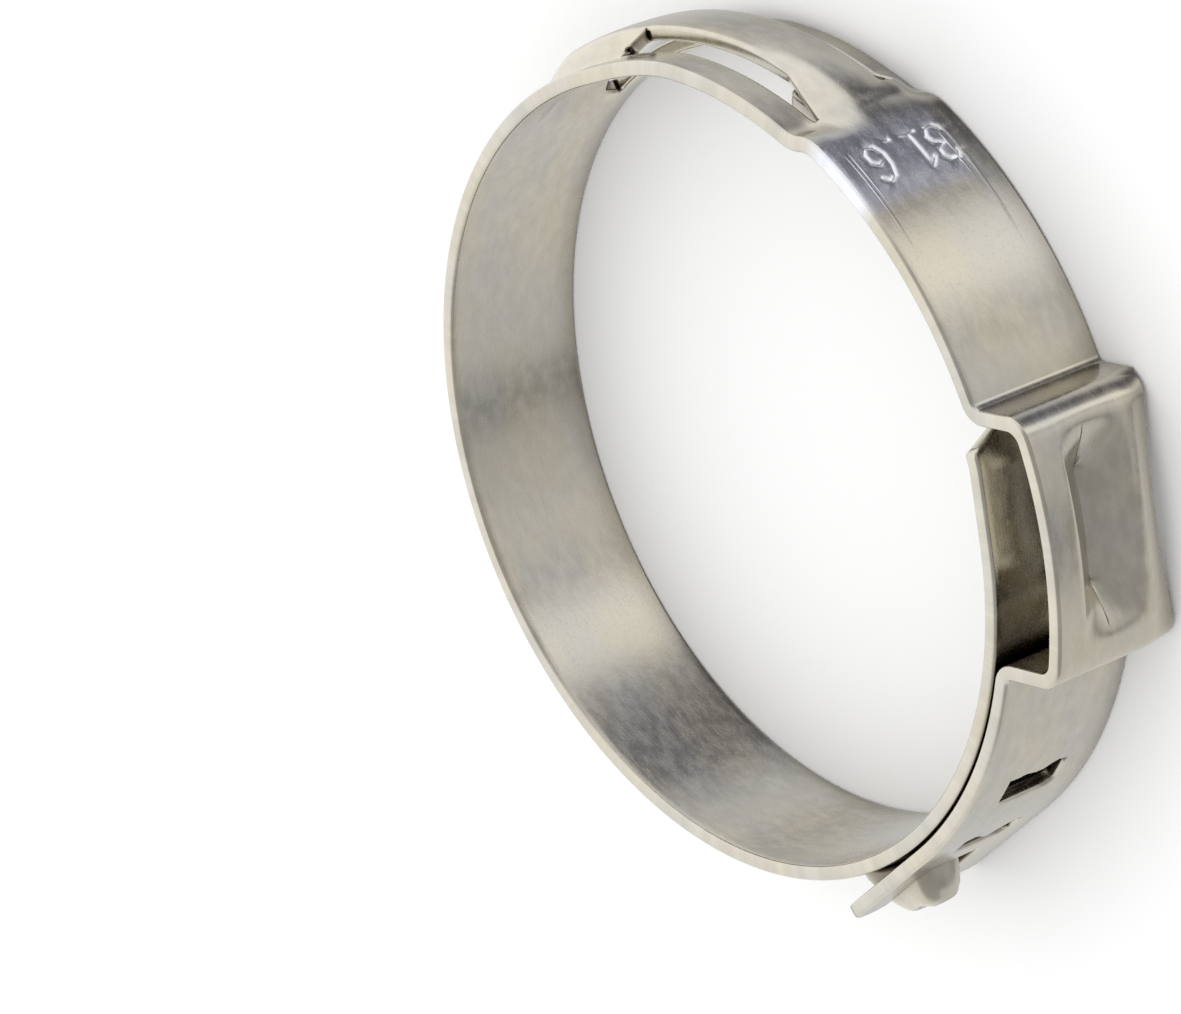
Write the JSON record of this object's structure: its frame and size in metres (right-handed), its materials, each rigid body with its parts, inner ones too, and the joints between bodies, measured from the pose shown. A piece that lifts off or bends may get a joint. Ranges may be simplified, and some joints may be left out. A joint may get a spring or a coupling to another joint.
{
  "type": "ear hose clamp",
  "caption": "Stepless ear hose clamp: a flat steel strip rolled into a ring, with a crimp ear, a tongue under a raised stretch and hooks in windows.",
  "frame": {"origin": "on the ring's axis, in the plane of its lower rim", "axes": "+Z along the ring's axis, upwards from the rim it lies on; +X towards the ear"},
  "size_m": [0.0361, 0.035, 0.0064],
  "materials": {
    "stainless_strip": "bright-rolled stainless strip, satin, with soft blurred reflections and deburred rims"
  },
  "bodies": {
    "root": {"clamp_band": "stainless_strip"}
  },
  "joints": []
}
